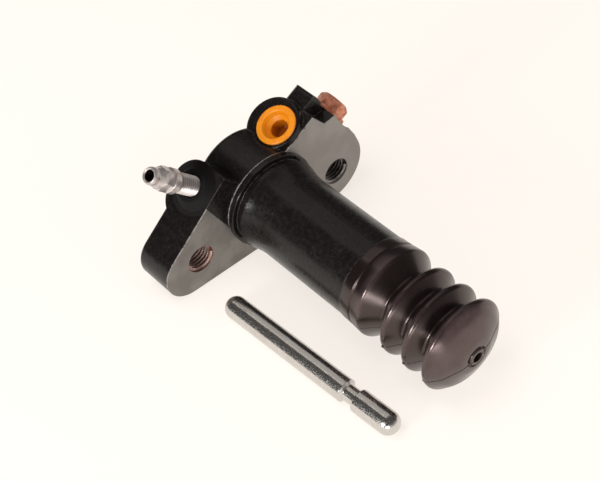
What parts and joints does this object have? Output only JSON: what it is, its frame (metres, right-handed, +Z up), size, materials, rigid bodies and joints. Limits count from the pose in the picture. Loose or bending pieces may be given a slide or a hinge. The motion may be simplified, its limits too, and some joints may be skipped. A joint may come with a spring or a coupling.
{
  "type": "clutch slave cylinder",
  "caption": "Hydraulic clutch slave cylinder: cast body with a two-ear mounting flange, tilted inlet block, bleeder screw, bellows dust boot and a loose round-ended push rod.",
  "frame": {"origin": "on the bore axis, in the plane of the machined mounting face", "axes": "+X along the bore towards the dust boot, +Y towards the plugged end of the inlet block, +Z up as the cylinder lies on its mounting ears"},
  "size_m": [0.1155, 0.0858, 0.0525],
  "materials": {
    "cylinder_body": "gloss black paint on cast metal, bare machined ear faces",
    "piston": "turned",
    "piston_cup": "moulded",
    "spring_seat": "pressed",
    "return_spring": "spring wire",
    "stop_ring": "phosphated wire",
    "dust_boot": "satin black moulded rubber",
    "push_rod": "bright zinc plate",
    "bleeder_screw": "bright zinc plate",
    "inlet_plug": "translucent orange plastic",
    "sealing_washer": "copper",
    "passage_screw": "copper plated"
  },
  "bodies": {
    "housing": {"cylinder_body": "cylinder_body", "return_spring": "return_spring", "stop_ring": "stop_ring", "dust_boot": "dust_boot", "push_rod": "push_rod", "sealing_washer": "sealing_washer", "passage_screw": "passage_screw"},
    "piston_group": {"piston": "piston", "piston_cup": "piston_cup", "spring_seat": "spring_seat"},
    "bleeder": {"bleeder_screw": "bleeder_screw"},
    "transport_plug": {"inlet_plug": "inlet_plug"}
  },
  "joints": [
    {"name": "piston_slide", "type": "slide", "parent": "housing", "child": "piston_group", "axis": [1, 0, 0], "range_m": [-0.018, 0], "stiffness_N_per_m": 300, "springref_m": 0.03, "deforming": ["return_spring"]},
    {"name": "bleeder_turn", "type": "hinge", "parent": "housing", "child": "bleeder", "pos_m": [-0.00854, -0.02445, 0.01588], "axis": [0, -0.7193, 0.6947], "range_deg": [0, 180]},
    {"name": "plug_pull", "type": "slide", "parent": "housing", "child": "transport_plug", "axis": [0, -0.5, 0.866], "range_m": [0, 0.012]}
  ]
}
